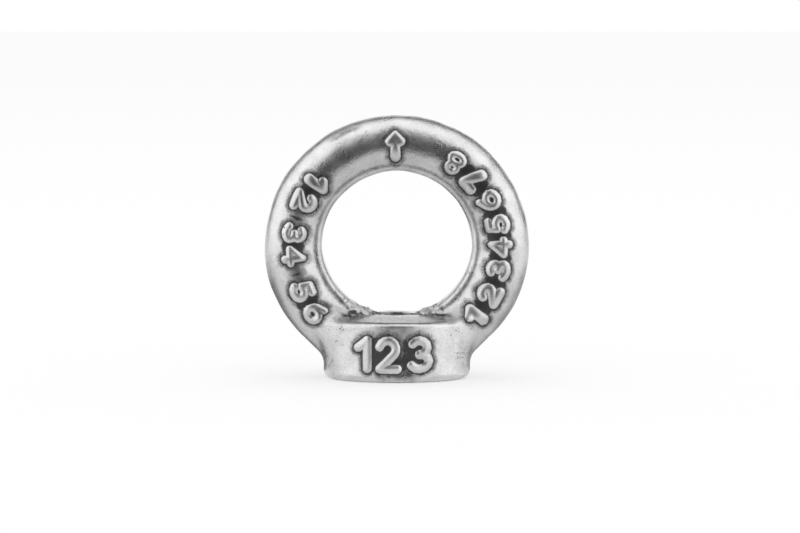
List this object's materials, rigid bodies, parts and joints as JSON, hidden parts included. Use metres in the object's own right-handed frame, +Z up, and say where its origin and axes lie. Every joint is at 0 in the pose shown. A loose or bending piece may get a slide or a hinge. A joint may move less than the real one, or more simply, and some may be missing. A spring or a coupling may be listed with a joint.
{
  "type": "lifting eye nut",
  "caption": "One-piece cast stainless steel lifting eye nut: a round ring on a tapped collar, for hooking a load from a threaded stud.",
  "frame": {"origin": "centre of the collar's flat seat, on the thread's axis", "axes": "+Z up the thread towards the eye, Y along the eye's axis with the marked front facing -Y, X across the ring"},
  "size_m": [0.045, 0.025, 0.0445],
  "materials": {
    "cast_steel": "investment cast stainless steel, blasted and tumbled to a satin shine, with dark oxide left in the hollows"
  },
  "bodies": {
    "root": {"eye_nut": "cast_steel"}
  },
  "joints": []
}
